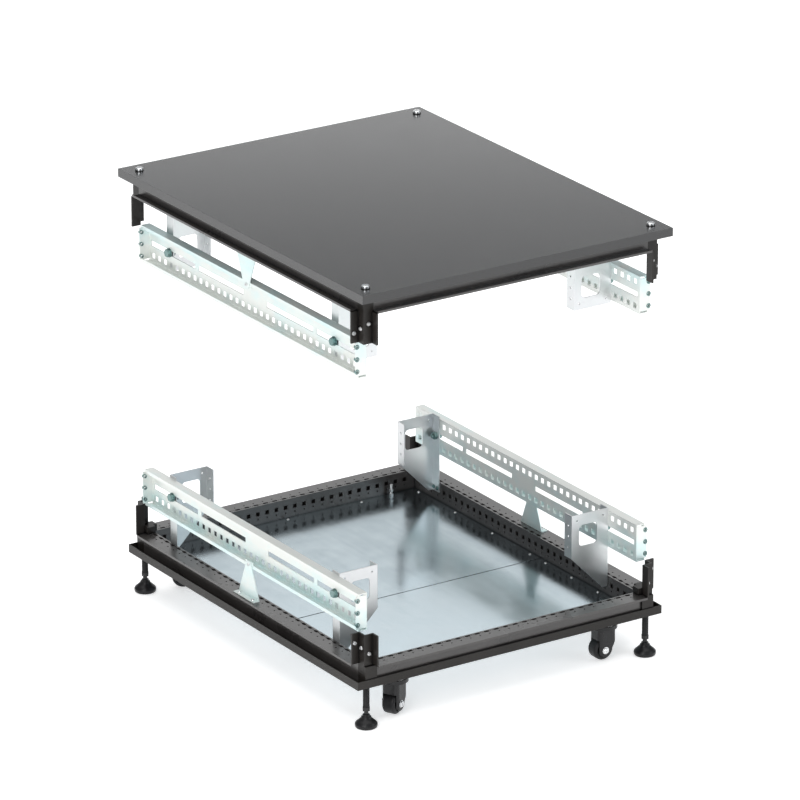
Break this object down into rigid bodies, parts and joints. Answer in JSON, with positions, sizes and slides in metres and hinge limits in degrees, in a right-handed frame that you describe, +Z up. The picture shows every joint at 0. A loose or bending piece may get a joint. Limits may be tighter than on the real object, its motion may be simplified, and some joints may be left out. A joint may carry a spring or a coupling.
{
  "type": "19-inch floor cabinet roof and base kit",
  "caption": "Roof and base frames of an 800 x 1000 mm floor-standing 19-inch cabinet with side rails, sliding brackets, castors and levelling feet; uprights not included.",
  "frame": {"origin": "centre of the footprint, on the floor", "axes": "+X to the right, +Y to the rear, +Z up"},
  "size_m": [0.8, 1, 1.015],
  "materials": {
    "black_paint": "satin black powder coat",
    "black_paint_roof": "satin black powder coat, roof panel",
    "grey_beam": "dark grey powder coat",
    "zinc_rail": "bright zinc plate",
    "zinc_bracket": "silver zinc plate",
    "zinc_floor": "zinc plated sheet",
    "screw_steel": "zinc plated screws",
    "bolt_steel": "bright domed bolts",
    "clamp_steel": "dark passivated clamp hardware",
    "washer_black": "black washers",
    "castor_black": "black hooded castor fork",
    "tread_black": "castor wheel",
    "foot_steel": "black levelling foot stem",
    "pad_black": "black levelling foot pad"
  },
  "bodies": {
    "base": {"base_tray": "black_paint", "base_beam_front": "grey_beam", "base_beam_rear": "grey_beam", "base_beam_left": "grey_beam", "base_beam_right": "grey_beam", "base_corner_posts": "black_paint", "base_rail_left": "zinc_rail", "base_rail_right": "zinc_rail", "base_gussets": "zinc_rail", "base_frame_screws": "screw_steel", "floor_panel_front": "zinc_floor", "floor_panel_rear": "zinc_floor", "floor_screws": "screw_steel", "earthing_stud": "screw_steel", "castor_plates": "screw_steel"},
    "roof": {"roof_panel": "black_paint_roof", "roof_beam_front": "grey_beam", "roof_beam_rear": "grey_beam", "roof_beam_left": "grey_beam", "roof_beam_right": "grey_beam", "roof_corner_posts": "black_paint", "roof_rail_left": "zinc_rail", "roof_rail_right": "zinc_rail", "roof_gussets": "zinc_rail", "roof_frame_screws": "screw_steel", "roof_bolts": "bolt_steel", "roof_washers": "washer_black"},
    "base_bracket_front_left_body": {"base_bracket_front_left": "zinc_bracket", "base_clamp_front_left": "clamp_steel"},
    "base_bracket_front_right_body": {"base_bracket_front_right": "zinc_bracket", "base_clamp_front_right": "clamp_steel"},
    "base_bracket_rear_left_body": {"base_bracket_rear_left": "zinc_bracket", "base_clamp_rear_left": "clamp_steel"},
    "base_bracket_rear_right_body": {"base_bracket_rear_right": "zinc_bracket", "base_clamp_rear_right": "clamp_steel"},
    "roof_bracket_front_left_body": {"roof_bracket_front_left": "zinc_bracket", "roof_clamp_front_left": "clamp_steel"},
    "roof_bracket_front_right_body": {"roof_bracket_front_right": "zinc_bracket", "roof_clamp_front_right": "clamp_steel"},
    "roof_bracket_rear_left_body": {"roof_bracket_rear_left": "zinc_bracket", "roof_clamp_rear_left": "clamp_steel"},
    "roof_bracket_rear_right_body": {"roof_bracket_rear_right": "zinc_bracket", "roof_clamp_rear_right": "clamp_steel"},
    "swivel_front_left": {"castor_fork_front_left": "castor_black"},
    "wheel_front_left": {"castor_wheel_front_left": "tread_black"},
    "swivel_front_right": {"castor_fork_front_right": "castor_black"},
    "wheel_front_right": {"castor_wheel_front_right": "tread_black"},
    "swivel_rear_left": {"castor_fork_rear_left": "castor_black"},
    "wheel_rear_left": {"castor_wheel_rear_left": "tread_black"},
    "swivel_rear_right": {"castor_fork_rear_right": "castor_black"},
    "wheel_rear_right": {"castor_wheel_rear_right": "tread_black"},
    "pad_front_left": {"foot_pad_front_left": "pad_black"},
    "stem_front_left": {"foot_stem_front_left": "foot_steel"},
    "pad_front_right": {"foot_pad_front_right": "pad_black"},
    "stem_front_right": {"foot_stem_front_right": "foot_steel"},
    "pad_rear_left": {"foot_pad_rear_left": "pad_black"},
    "stem_rear_left": {"foot_stem_rear_left": "foot_steel"},
    "pad_rear_right": {"foot_pad_rear_right": "pad_black"},
    "stem_rear_right": {"foot_stem_rear_right": "foot_steel"}
  },
  "joints": [
    {"name": "roof_lift", "type": "slide", "parent": "base", "child": "roof", "axis": [0, 0, 1], "range_m": [0, 0.3]},
    {"name": "base_slide_front_left", "type": "slide", "parent": "base", "child": "base_bracket_front_left_body", "axis": [0, 1, 0], "range_m": [-0.1095, 0.0675]},
    {"name": "base_slide_front_right", "type": "slide", "parent": "base", "child": "base_bracket_front_right_body", "axis": [0, 1, 0], "range_m": [-0.1095, 0.0675]},
    {"name": "base_slide_rear_left", "type": "slide", "parent": "base", "child": "base_bracket_rear_left_body", "axis": [0, 1, 0], "range_m": [-0.1035, 0.0735]},
    {"name": "base_slide_rear_right", "type": "slide", "parent": "base", "child": "base_bracket_rear_right_body", "axis": [0, 1, 0], "range_m": [-0.1035, 0.0735]},
    {"name": "roof_slide_front_left", "type": "slide", "parent": "roof", "child": "roof_bracket_front_left_body", "axis": [0, 1, 0], "range_m": [-0.1095, 0.0675]},
    {"name": "roof_slide_front_right", "type": "slide", "parent": "roof", "child": "roof_bracket_front_right_body", "axis": [0, 1, 0], "range_m": [-0.1095, 0.0675]},
    {"name": "roof_slide_rear_left", "type": "slide", "parent": "roof", "child": "roof_bracket_rear_left_body", "axis": [0, 1, 0], "range_m": [-0.1035, 0.0735]},
    {"name": "roof_slide_rear_right", "type": "slide", "parent": "roof", "child": "roof_bracket_rear_right_body", "axis": [0, 1, 0], "range_m": [-0.1035, 0.0735]},
    {"name": "castor_swivel_front_left", "type": "hinge", "parent": "base", "child": "swivel_front_left", "pos_m": [-0.276, -0.432, 0.085], "axis": [0, 0, 1], "continuous": true},
    {"name": "castor_spin_front_left", "type": "hinge", "parent": "swivel_front_left", "child": "wheel_front_left", "pos_m": [-0.28306, -0.43576, 0.029], "axis": [0.4695, -0.8829, 0], "continuous": true},
    {"name": "castor_swivel_front_right", "type": "hinge", "parent": "base", "child": "swivel_front_right", "pos_m": [0.276, -0.432, 0.085], "axis": [0, 0, 1], "continuous": true},
    {"name": "castor_spin_front_right", "type": "hinge", "parent": "swivel_front_right", "child": "wheel_front_right", "pos_m": [0.268, -0.432, 0.029], "axis": [0, -1, 0], "continuous": true},
    {"name": "castor_swivel_rear_left", "type": "hinge", "parent": "base", "child": "swivel_rear_left", "pos_m": [-0.276, 0.432, 0.085], "axis": [0, 0, 1], "continuous": true},
    {"name": "castor_spin_rear_left", "type": "hinge", "parent": "swivel_rear_left", "child": "wheel_rear_left", "pos_m": [-0.28293, 0.436, 0.029], "axis": [-0.5, -0.866, 0], "continuous": true},
    {"name": "castor_swivel_rear_right", "type": "hinge", "parent": "base", "child": "swivel_rear_right", "pos_m": [0.276, 0.432, 0.085], "axis": [0, 0, 1], "continuous": true},
    {"name": "castor_spin_rear_right", "type": "hinge", "parent": "swivel_rear_right", "child": "wheel_rear_right", "pos_m": [0.28293, 0.436, 0.029], "axis": [-0.5, 0.866, 0], "continuous": true},
    {"name": "foot_level_front_left", "type": "slide", "parent": "base", "child": "pad_front_left", "axis": [0, 0, 1], "range_m": [-0.02, 0.02]},
    {"name": "foot_turn_front_left", "type": "hinge", "parent": "pad_front_left", "child": "stem_front_left", "pos_m": [-0.368, -0.461, 0.03], "axis": [0, 0, 1], "continuous": true},
    {"name": "foot_level_front_right", "type": "slide", "parent": "base", "child": "pad_front_right", "axis": [0, 0, 1], "range_m": [-0.02, 0.02]},
    {"name": "foot_turn_front_right", "type": "hinge", "parent": "pad_front_right", "child": "stem_front_right", "pos_m": [0.368, -0.461, 0.03], "axis": [0, 0, 1], "continuous": true},
    {"name": "foot_level_rear_left", "type": "slide", "parent": "base", "child": "pad_rear_left", "axis": [0, 0, 1], "range_m": [-0.02, 0.02]},
    {"name": "foot_turn_rear_left", "type": "hinge", "parent": "pad_rear_left", "child": "stem_rear_left", "pos_m": [-0.368, 0.461, 0.03], "axis": [0, 0, 1], "continuous": true},
    {"name": "foot_level_rear_right", "type": "slide", "parent": "base", "child": "pad_rear_right", "axis": [0, 0, 1], "range_m": [-0.02, 0.02]},
    {"name": "foot_turn_rear_right", "type": "hinge", "parent": "pad_rear_right", "child": "stem_rear_right", "pos_m": [0.368, 0.461, 0.03], "axis": [0, 0, 1], "continuous": true}
  ],
  "couplings": [
    {"joint": "foot_turn_front_left", "follows": "foot_level_front_left", "rad_per_m": 3141.6},
    {"joint": "foot_turn_front_right", "follows": "foot_level_front_right", "rad_per_m": 3141.6},
    {"joint": "foot_turn_rear_left", "follows": "foot_level_rear_left", "rad_per_m": 3141.6},
    {"joint": "foot_turn_rear_right", "follows": "foot_level_rear_right", "rad_per_m": 3141.6}
  ]
}
